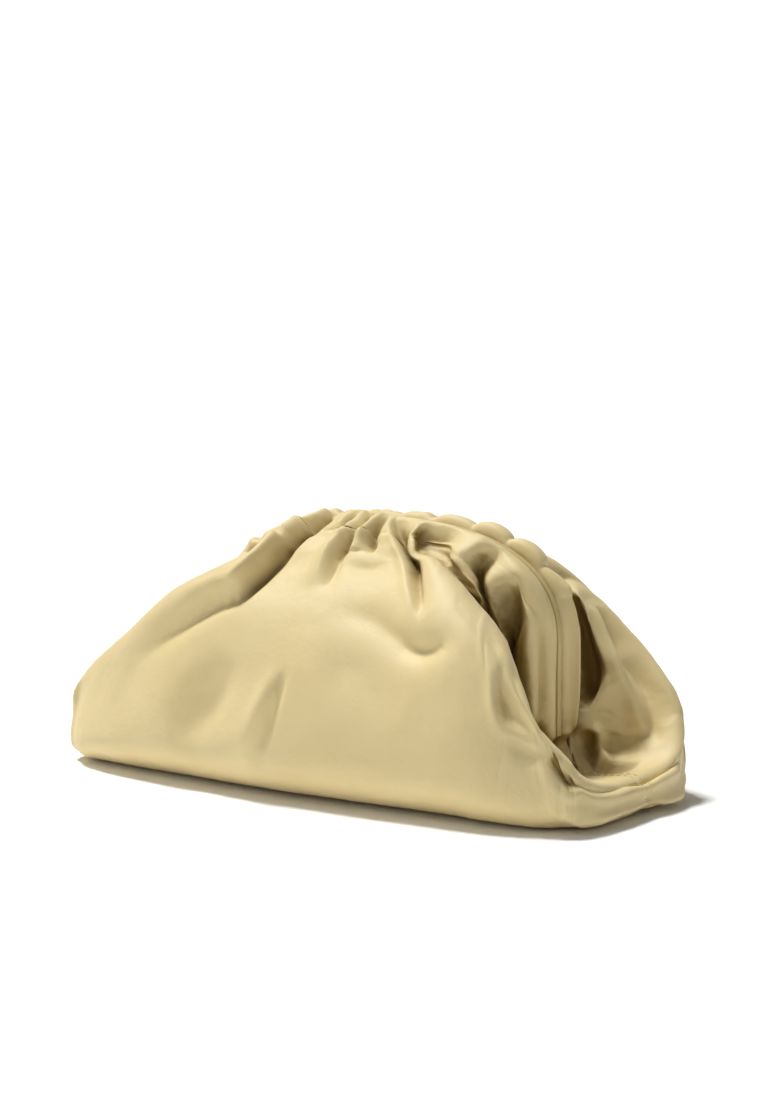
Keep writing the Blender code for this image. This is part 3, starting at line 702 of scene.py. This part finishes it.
# gathers. The columns are place, start, width, depth, puff, reach and drift: mm along the frame, mm below
# the bar's top where it starts, its width and depth, the height of the puff up to the next one, how far
# down it is felt, and how much it leans
frontGathers = (
    (-186, 14, 6, 1.5, 1.2, 60, -0.20),
    (-158, 16, 7, 2.5, 1.5, 70, -0.35),
    (-128, 14, 6, 2.0, 0.0, 60, -0.40),
    (-40, 6, 3, 0.5, 1.0, 20, -0.15),
    (-24, 4, 2.5, 1.0, 1.0, 16, -0.15),
    (-12, 4, 2.5, 0.8, 1.0, 16, -0.10),
    (0, 4, 2.5, 0.8, 1.0, 16, 0.05),
    (16, 4, 3, 0.5, 0.0, 16, 0.30),
)
backGathers = (
    (-184, 14, 6, 1.5, 1.2, 60, -0.20),
    (-152, 16, 7, 3.0, 1.5, 70, -0.30),
    (-124, 14, 6, 2.0, 2.0, 60, -0.30),
    (-106, 12, 4, 3.0, 2.5, 60, -0.20),
    (-84, 12, 4, 2.5, 2.0, 60, -0.15),
    (-66, 10, 4, 3.5, 2.5, 55, -0.10),
    (-45, 8, 3, 2.0, 2.0, 35, -0.10),
    (-33, 8, 3, 3.0, 1.5, 45, -0.05),
    (-17, 8, 3, 2.0, 1.5, 28, 0.00),
    (-5, 8, 3, 2.5, 1.5, 40, 0.00),
    (10, 8, 3, 2.0, 1.5, 30, 0.05),
    (24, 8, 3, 3.0, 7.0, 44, 0.10),
    (52, 4, 4, 2.5, 13.0, 46, 0.15),
    (76, 4, 4, 2.5, 14.0, 46, 0.20),
    (101, 4, 4, 2.5, 6.0, 50, 0.20),
    (122, 12, 5, 2.0, 0.0, 40, 0.10),
)


seamLook = {
    "sink": 0.0011,  # how far the side seam is drawn in
    "reach": 0.0022,
    "aside": 0.0026,  # rows of stitches beside it
    "pitch": 0.0042,
    "stitch": 0.0031,
    "thread": 0.0006,
    "raised": 0.35,  # of the thread's thickness, over the leather
    "firstRow": 24,  # of the grid below the wrap, where the rows of stitches start
    "overFloor": 0.002,
    "colour": "#e2d09e",
    "roughness": 0.55,
    "strandMm": 0.4,
}


def belowBar(points):
    steps = np.linalg.norm(np.diff(points, axis=1), axis=2)
    down = np.concatenate([np.zeros((len(points), 1)), np.cumsum(steps, axis=1)], axis=1)
    top = down[:, leather["wrapRows"] // 2, None]
    return np.maximum(down - top, 0), smooth((down / top - 0.6) / 0.4)


def gatherHeights(place, below, rise, table):
    full = 0.4 + 0.6 * smooth(below / 0.020) * (1 - 0.6 * smooth((below - 0.012) / 0.03))
    height = np.zeros(below.shape)
    for row, following in zip(table, table[1:] + table[-1:]):
        at, start, width, depth, puff, reach, drift = (v * mm for v in row)
        here = place[:, None] - drift / mm * below
        fade = np.exp(-((below / reach) ** 2))
        crease = np.exp(-((np.abs(here - at) / width) ** 1.5))
        height -= depth * crease * fade * smooth((below - start) / 0.012)
        gap = following[0] * mm - at
        if gap > 0:
            across = np.clip((here - at) / gap, 0, 1)
            height += puff * (4 * across * (1 - across)) ** 0.55 * fade * rise * full
    return height


looseness = {
    "broadMm": 1.9,  # height and wave of the slow unevenness
    "broadWave": 0.055,
    "broadDown": 0.16,  # its wave downwards, as a share of the way to the base
    "fineMm": 0.3,
    "fineWave": 0.016,
    "flatFrom": 0.86,  # share of the way down where the base lies flat
}


def plainFace(front):
    # the smooth form of one face of the bag, before its folds
    half = leather["columns"] // 2
    ends = leather["endColumns"]
    pastArm = np.linspace(1, leather["seamAt"], ends + 1)[1:]
    along = np.concatenate([np.linspace(0, 1, half - ends + 1), pastArm])
    rightHalf = frontRight if front else backRight
    right, down = quarter(rightHalf, leather["spreadRight"], leather["stripAlong"], front, along)
    left, _ = quarter(leftHalf, leather["spreadLeft"], leather["stripAlong"], front, along)
    left[:, :, 0] *= -1
    points = np.concatenate([left[::-1], right[1:]], 0)
    points[:, :, 0] += arch["baseX"]
    if front:
        points[:, :, 1] *= -1
    place = np.concatenate([-along[::-1], along[1:]]) * armPlace
    wrapRows = leather["wrapRows"]
    down = np.concatenate([(np.arange(wrapRows + 1) - wrapRows) / leather["bodyRows"], down])
    points = guided(points, place, frontGuides if front else backGuides)
    return points, place, down


def foldedFace(front, plain, lines):
    points, place, down = plain
    below, rise = belowBar(points)
    normal, hollow = surfaceNormals(points, -1 if front else 1)
    height = gatherHeights(place, below, rise, frontGathers if front else backGathers)
    height += creaseHeights(points, normal, lines) * rise
    height = evened(height, 2)
    soft = smooth(down / 0.15)
    across, seed = place[:, None], leather["seed"]
    broadAt = across / looseness["broadWave"] + 3, down[None, :] / looseness["broadDown"]
    fineAt = across / looseness["fineWave"] + 9, below / looseness["fineWave"]
    height += looseness["broadMm"] * mm * fractal(*broadAt, seed + 20, 2) * soft[None, :]
    height += looseness["fineMm"] * mm * fractal(*fineAt, seed + 40, 3) * soft[None, :]
    height *= smooth((looseness["flatFrom"] - down) / 0.1)[None, :]
    fromSeam = place[-1] - np.abs(place)
    drawn = np.exp(-((fromSeam / seamLook["reach"]) ** 2))[:, None]
    height -= seamLook["sink"] * drawn * smooth(below / 0.02)
    height /= 1 + 1.5 * hollow * np.maximum(height, 0)
    folded = points + normal * height[:, :, None]
    folded[:, :, 2] = np.maximum(folded[:, :, 2], 0)
    return folded


def gridFaces(columns, rows):
    index = np.arange(columns * rows).reshape(columns, rows)
    return np.stack([index[:-1, :-1], index[:-1, 1:], index[1:, 1:], index[1:, :-1]], -1).reshape(-1, 4)


# rays that measure how closed in the leather is, for the shade painted into its folds
occlusion = {
    "rays": 14,
    "every": 2,  # rays start at every second grid point, and the rest lie between
    "reach": 0.045,
    "lift": 0.0006,
    "least": 0.18,  # share of blocked rays where the painted shade begins and where it is full
    "most": 0.72,
}


def paintedShadeShare(points, outward, others):
    # 0 to 1: how closed in each point is by the leather around it, which weights the painted shade in the
    #         folds
    every = occlusion["every"]
    spots = points[::every, ::every]
    facing = surfaceNormals(points, outward)[0][::every, ::every]
    faces = [gridFaces(grid.shape[0], grid.shape[1]) for grid in others]
    corners = np.concatenate([grid.reshape(-1, 3) for grid in others])
    starts = np.cumsum([0] + [grid.shape[0] * grid.shape[1] for grid in others])
    polygons = np.concatenate([f + start for f, start in zip(faces, starts)])
    tree = BVHTree.FromPolygons(corners.tolist(), polygons.tolist())
    rays = occlusion["rays"]
    golden = math.pi * (3 - math.sqrt(5))
    blocked = np.zeros(spots.shape[:2])
    for k in range(rays):
        up = math.sqrt(1 - (k + 0.5) / rays)
        around = golden * k
        across = math.sqrt(1 - up * up)
        side = np.cross(facing, (0.3, 0.2, 0.93))
        side /= np.maximum(np.linalg.norm(side, axis=2, keepdims=True), 1e-9)
        other = np.cross(facing, side)
        heading = facing * up + side * (across * math.cos(around)) + other * (across * math.sin(around))
        begin = spots + facing * occlusion["lift"]
        for i in range(spots.shape[0]):
            for j in range(spots.shape[1]):
                if tree.ray_cast(begin[i, j], heading[i, j], occlusion["reach"])[0] is not None:
                    blocked[i, j] += 1 / rays
    columns, rows = (
        np.interp(np.arange(full), np.arange(0, full, every), np.arange(part))
        for full, part in zip(points.shape, spots.shape[:2])
    )
    i = np.minimum(columns.astype(int), spots.shape[0] - 2)
    j = np.minimum(rows.astype(int), spots.shape[1] - 2)
    fi, fj = (columns - i)[:, None], (rows - j)[None, :]
    top = lerp(blocked[i][:, j], blocked[i + 1][:, j], fi)
    low = lerp(blocked[i][:, j + 1], blocked[i + 1][:, j + 1], fi)
    share = evened(lerp(top, low, fj), 2)
    return smooth((share - occlusion["least"]) / (occlusion["most"] - occlusion["least"]))


def panel(name, points, flip, around):
    quads = gridFaces(*points.shape[:2])
    if flip:
        quads = quads[:, ::-1]
    made = meshPiece(name, points.reshape(-1, 3).tolist(), [], quads.tolist())
    made.data.shade_smooth()
    # the weight of the painted shade, which the leather's material reads to darken its folds
    hollow = made.data.attributes.new("hollow", "FLOAT", "POINT")
    hollow.data.foreach_set("value", paintedShadeShare(points, 1 if flip else -1, around).reshape(-1))
    return made


plainFaces = [plainFace(True), plainFace(False)]
seenFaces = []
for front, (points, place, down) in zip((True, False), plainFaces):
    seenFaces.append((points, surfaceNormals(points, -1 if front else 1)[0], inPicture(points)))
print("smooth form made")

lines = []
for kind, table in (("crease", seenCreases), ("dent", seenDents)):
    for stops in table.values():
        found = [visiblePoint(seenFaces, stop[0], stop[1]) for stop in stops]
        sizes = [stop[2:] if kind == "crease" else (stop[2], stop[2], stop[3], 0) for stop in stops]
        line = creaseLine([f[0] for f in found], [f[1] for f in found], sizes)
        lines.append((line, creaseShape[kind]))
points, place, down = plainFaces[1]
normals = seenFaces[1][1]
for stops in backCreases.values():
    found = [(np.searchsorted(place, stop[0] * mm), np.searchsorted(down, stop[1] / 100)) for stop in stops]
    line = creaseLine([points[k] for k in found], [normals[k] for k in found], [stop[2:] for stop in stops])
    lines.append((line, creaseShape["crease"]))

frontPoints = foldedFace(True, plainFaces[0], lines)
backPoints = foldedFace(False, plainFaces[1], lines)
seam = (frontPoints + backPoints) / 2
for points in (frontPoints, backPoints):
    points[0], points[-1], points[:, -1] = seam[0], seam[-1], seam[:, -1]
bothFaces = (frontPoints, backPoints)
frontPanel = panel("front_panel", frontPoints, False, bothFaces)
backPanel = panel("back_panel", backPoints, True, bothFaces)
print("leather panels made")


# stitches beside the side seams

def stitchTree(material):
    # one thread stitch on each step of the seam's line, along it
    tree = bpy.data.node_groups.new("seam_stitches", "GeometryNodeTree")
    sizes = {"Pitch": seamLook["pitch"], "Stitch length": seamLook["stitch"], "Thread": seamLook["thread"]}
    tree.interface.new_socket("Geometry", in_out="INPUT", socket_type="NodeSocketGeometry")
    for name in sizes:
        tree.interface.new_socket(name, in_out="INPUT", socket_type="NodeSocketFloat")
    tree.interface.new_socket("Geometry", in_out="OUTPUT", socket_type="NodeSocketGeometry")
    given = tree.nodes.new("NodeGroupInput").outputs
    curve = addNode(tree, "GeometryNodeMeshToCurve", Mesh=given["Geometry"])
    steps = tree.nodes.new("GeometryNodeResampleCurve")
    steps.mode = "LENGTH"
    tree.links.new(curve.outputs["Curve"], steps.inputs["Curve"])
    tree.links.new(given["Pitch"], steps.inputs["Length"])
    tangent = addNode(tree, "GeometryNodeInputTangent")
    turn = addNode(tree, "FunctionNodeAlignRotationToVector", Vector=tangent.outputs["Tangent"])
    turn.axis = "Z"
    stitch = addNode(tree, "GeometryNodeMeshUVSphere", Segments=8, Rings=6, Radius=0.5)
    thick, long = given["Thread"], given["Stitch length"]
    size = addNode(tree, "ShaderNodeCombineXYZ", X=thick, Y=thick, Z=long)
    placed = addNode(
        tree, "GeometryNodeInstanceOnPoints", Points=steps.outputs["Curve"], Instance=stitch.outputs["Mesh"],
        Rotation=turn.outputs["Rotation"], Scale=size.outputs["Vector"],
    )
    real = addNode(tree, "GeometryNodeRealizeInstances", Geometry=placed.outputs["Instances"])
    painted = addNode(tree, "GeometryNodeSetMaterial", Geometry=real.outputs["Geometry"], Material=material)
    out = tree.nodes.new("NodeGroupOutput")
    tree.links.new(painted.outputs["Geometry"], out.inputs["Geometry"])
    return tree, sizes


def seamLines():
    # a line on each panel beside each side seam, from the mouth to the base
    found = []
    for face, points in enumerate(bothFaces):
        normal = surfaceNormals(points, -1 if face == 0 else 1)[0]
        for end, inwards in ((0, 1), (-1, -1)):
            edge = points[end]
            beside = points[end + 4 * inwards] - edge
            beside /= np.maximum(np.linalg.norm(beside, axis=1, keepdims=True), 1e-9)
            line = edge + beside * seamLook["aside"]
            line = line + normal[end + 3 * inwards] * seamLook["thread"] * seamLook["raised"]
            belowWrap = np.arange(len(line)) > leather["wrapRows"] + seamLook["firstRow"]
            found.append(line[belowWrap & (line[:, 2] > seamLook["overFloor"])])
    return found


def stitches(material):
    lines = seamLines()
    edges, start = [], 0
    for line in lines:
        edges += [(start + k, start + k + 1) for k in range(len(line) - 1)]
        start += len(line)
    path = meshPiece("seam_path", np.concatenate(lines).tolist(), edges, [])
    tree, sizes = stitchTree(material)
    modifier = path.modifiers.new("Stitches", "NODES")
    modifier.node_group = tree
    for item in tree.interface.items_tree:
        if item.name in sizes:
            modifier[item.identifier] = sizes[item.name]
    done = bpy.data.meshes.new_from_object(path.evaluated_get(bpy.context.evaluated_depsgraph_get()))
    made = inScene("seam_stitches", done)
    bpy.data.objects.remove(path)
    done.shade_smooth()
    return made


# frame bars; the hinges are the ones from model.glb

frameSizes = {
    "steps": 220,
    "edge": 0.0005,  # rounding of the edges
    # outlines in mm: distance to the front and height over the arch
    "front": ((2.0, -1.6), (2.0, -10.3), (4.7, -10.3), (4.7, -4.6), (5.7, -3.0),
              (9.2, -3.0), (10.2, -4.6), (10.2, -16.0), (-2.1, -16.0), (-2.1, -1.6)),
    "back": ((-4.7, -4.6), (-5.7, -3.0), (-9.2, -3.0), (-10.2, -4.6), (-10.2, -16.0), (-4.7, -16.0)),
}


def barMesh(name, outline):
    along = np.linspace(-1, 1, frameSizes["steps"] + 1)
    x, z, nx, nz = onArch(np.abs(along))
    turn = np.sign(along + 1e-9)
    rings = []
    for forward, up in outline:
        sideways = arch["baseX"] + turn * (x + nx * up * mm)
        rings.append(np.stack([sideways, np.full_like(x, -forward * mm), z + nz * up * mm], -1))
    points = np.stack(rings, 1)
    steps, sides = points.shape[:2]
    index = np.arange(steps * sides).reshape(steps, sides)
    faces = []
    for k in range(sides):
        following = (k + 1) % sides
        for s in range(steps - 1):
            faces.append((index[s, k], index[s + 1, k], index[s + 1, following], index[s, following]))
    faces += [tuple(index[0]), tuple(index[-1][::-1])]
    faces = [tuple(int(i) for i in face) for face in faces]
    made = meshPiece(name, points.reshape(-1, 3).tolist(), [], faces)
    edge = made.modifiers.new("Edge", "BEVEL")
    edge.width = frameSizes["edge"]
    edge.segments = 2
    edge.limit_method = "ANGLE"
    edge.angle_limit = math.radians(30)
    made.data.shade_smooth()
    return made


frontBar = barMesh("front_bar", frameSizes["front"])
backBar = barMesh("back_bar", frameSizes["back"])
print("frame bars made")


# materials

def linear(text):
    # an sRGB hex colour as linear red, green, blue and alpha
    values = [int(text[k:k + 2], 16) / 255 for k in (1, 3, 5)]
    return tuple(v / 12.92 if v <= 0.04045 else ((v + 0.055) / 1.055) ** 2.4 for v in values) + (1.0,)


def addNode(tree, kind, **sockets):
    # adds a node and sets or links its inputs by their names
    node = tree.nodes.new(kind)
    for name, value in sockets.items():
        socket = node.inputs[name.replace("_", " ")]
        if isinstance(value, bpy.types.NodeSocket):
            tree.links.new(value, socket)
        else:
            socket.default_value = value
    return node


calfLook = {
    "light": "#e8d5a2",
    "dark": "#dcc68b",
    # painted shade: the colour mixed in where the folds close in
    "hollow": "#8a6c24",
    "roughness": 0.56,
    "sheen": 0.08,
    "cloudMm": 45.5,  # uneven dye
    "wrinkleMm": 14.3,  # loose skin, as it creases in wear
    "wrinkleDepth": 0.0012,
    "grainMm": 3.85,
    "poreMm": 0.55,  # real pores are about half of this, too fine to show in the picture
    "grainDepth": 0.0004,
}


def calfMaterial():
    # dyed, lightly milled calf: fine pores and soft wrinkles break up a satin sheen, the dye is a little
    # cloudy, and painted shade makes the colour deeper and more golden where the folds close in
    made, tree, shader = newMaterial("butter_calf")
    coords = addNode(tree, "ShaderNodeTexCoord").outputs["Object"]
    clouds = addNode(tree, "ShaderNodeTexNoise", Vector=coords, Detail=4.0, Roughness=0.55)
    clouds.inputs["Scale"].default_value = 1 / (calfLook["cloudMm"] * mm)
    # the painted shade's weight, stored on each point of the leather
    hollow = addNode(tree, "ShaderNodeAttribute")
    hollow.attribute_name = "hollow"
    # the cloudy dye is mixed in first, then the painted shade
    mixes = []
    for share, colour in ((clouds, "dark"), (hollow, "hollow")):
        mix = addNode(tree, "ShaderNodeMix")  # of its sockets, 0 is the share, and 6 and 7 are the two colours
        mix.data_type = "RGBA"
        tree.links.new(share.outputs["Fac"], mix.inputs[0])
        mix.inputs[7].default_value = linear(calfLook[colour])
        mixes.append(mix)
    mixes[0].inputs[6].default_value = linear(calfLook["light"])
    tree.links.new(mixes[0].outputs[2], mixes[1].inputs[6])
    tree.links.new(mixes[1].outputs[2], shader["Base Color"])
    pores = addNode(tree, "ShaderNodeTexVoronoi", Vector=coords, Scale=1 / (calfLook["poreMm"] * mm))
    fine = addNode(tree, "ShaderNodeTexNoise", Vector=coords, Detail=5.0)
    fine.inputs["Scale"].default_value = 1 / (calfLook["grainMm"] * mm)
    grain = addNode(tree, "ShaderNodeMath")
    grain.operation = "MULTIPLY_ADD"
    tree.links.new(pores.outputs["Distance"], grain.inputs[0])
    grain.inputs[1].default_value = 0.5
    tree.links.new(fine.outputs["Fac"], grain.inputs[2])
    wrinkles = addNode(tree, "ShaderNodeTexNoise", Vector=coords, Detail=4.0, Roughness=0.6, Distortion=0.8)
    wrinkles.inputs["Scale"].default_value = 1 / (calfLook["wrinkleMm"] * mm)
    soft = addNode(tree, "ShaderNodeBump", Strength=0.35, Height=wrinkles.outputs["Fac"])
    soft.inputs["Distance"].default_value = calfLook["wrinkleDepth"]
    bump = addNode(tree, "ShaderNodeBump", Strength=0.3, Height=grain.outputs[0])
    tree.links.new(soft.outputs["Normal"], bump.inputs["Normal"])
    bump.inputs["Distance"].default_value = calfLook["grainDepth"]
    tree.links.new(bump.outputs["Normal"], shader["Normal"])
    shader["Roughness"].default_value = calfLook["roughness"]
    shader["Sheen Weight"].default_value = calfLook["sheen"]
    return made


barLook = {"colour": "#cdb67c", "roughness": 0.4}


def barMaterial():
    # spray-lacquered steel in the leather's shade: a smooth, even strip with a soft gloss in the mouth's slit
    made, _, shader = newMaterial("lacquered_steel")
    shader["Base Color"].default_value = linear(barLook["colour"])
    shader["Roughness"].default_value = barLook["roughness"]
    return made


def threadMaterial():
    # waxed polyester thread: its twisted strands give small shadows and a soft sheen
    made, tree, shader = newMaterial("waxed_thread")
    coords = addNode(tree, "ShaderNodeTexCoord").outputs["Object"]
    strands = addNode(tree, "ShaderNodeTexNoise", Vector=coords, Scale=1 / (seamLook["strandMm"] * mm))
    bump = addNode(tree, "ShaderNodeBump", Strength=0.4, Distance=0.0001, Height=strands.outputs["Fac"])
    tree.links.new(bump.outputs["Normal"], shader["Normal"])
    shader["Base Color"].default_value = linear(seamLook["colour"])
    shader["Roughness"].default_value = seamLook["roughness"]
    return made


calf, lacquer, thread = calfMaterial(), barMaterial(), threadMaterial()
seamStitches = stitches(thread)
print("stitches made")
for piece in (frontPanel, backPanel):
    piece.data.materials.append(calf)
for piece in (frontBar, backBar):
    piece.data.materials.append(lacquer)
for name in ("hinge_left", "hinge_right"):
    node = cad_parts[name]
    for slot in node.material_slots:
        slot.material = lacquer
print("materials made")

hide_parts("leather_body")
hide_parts("frame_front")
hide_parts("frame_back")
for piece in (frontPanel, backPanel, frontBar, backBar, seamStitches):
    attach(piece, "root")


# floor, light and camera

studio = {
    "floor": "#ffffff",
    "size": 20.0,  # half of the floor, in metres
    "paperRoughness": 0.9,
    "world": 0.2,
    "exposure": 0.0,
    # where each light comes from, its strength, and how many degrees wide it is, which softens shadows
    "lights": {
        "key": ((-0.5, 0.02, 1.2), 3.1, 14),
        "fill": ((-0.5, -1.0, 0.55), 0.42, 60),
    },
}

far = studio["size"]
corners = [(-far, -far), (far, -far), (far, far), (-far, far)]
floor = meshPiece("floor", [(x, y, 0) for x, y in corners], [], [(0, 1, 2, 3)])
# matt white paper: bright and without gloss, so that only the soft shadow shows
paper, _, matt = newMaterial("white_paper")
matt["Base Color"].default_value = linear(studio["floor"])
matt["Roughness"].default_value = studio["paperRoughness"]
floor.data.materials.append(paper)

# white walls far off, evenly lit: only there to be seen behind the floor, they light nothing
wallCorners = [(x, y, z) for z in (-0.01, far) for x, y in corners]
wallSides = [(k, (k + 1) % 4, (k + 1) % 4 + 4, k + 4) for k in range(4)]
backdrop = meshPiece("backdrop", wallCorners, [], wallSides)
glow, _, glowing = newMaterial("white_wall")
glowing["Base Color"].default_value = linear(studio["floor"])
glowing["Emission Color"].default_value = linear(studio["floor"])
glowing["Emission Strength"].default_value = 1.0
backdrop.data.materials.append(glow)
backdrop.visible_diffuse = False
backdrop.visible_glossy = False
backdrop.visible_shadow = False


def softLight(name, comesFrom, strength, degrees):
    light = bpy.data.lights.new(name, "SUN")
    light.energy = strength
    light.angle = math.radians(degrees)
    made = inScene(name, light)
    made.rotation_euler = Vector(comesFrom).to_track_quat("Z", "Y").to_euler()


for name, (comesFrom, strength, degrees) in studio["lights"].items():
    softLight(name, comesFrom, strength, degrees)

world = bpy.data.worlds.new("studio")
world.use_nodes = True
world.node_tree.nodes["Background"].inputs[0].default_value = (1, 1, 1, 1)
world.node_tree.nodes["Background"].inputs[1].default_value = studio["world"]
scene.world = world
scene.view_settings.view_transform = "Standard"
scene.view_settings.exposure = studio["exposure"]

lens = bpy.data.cameras.new("camera")
lens.lens = eye["lens"]
lens.sensor_width = eye["sensor"]
camera = inScene("camera", lens)
camera.location = eye["place"]
camera.rotation_euler = Vector(eye["look"]).to_track_quat("-Z", "Y").to_euler()
scene.camera = camera
print("studio made")
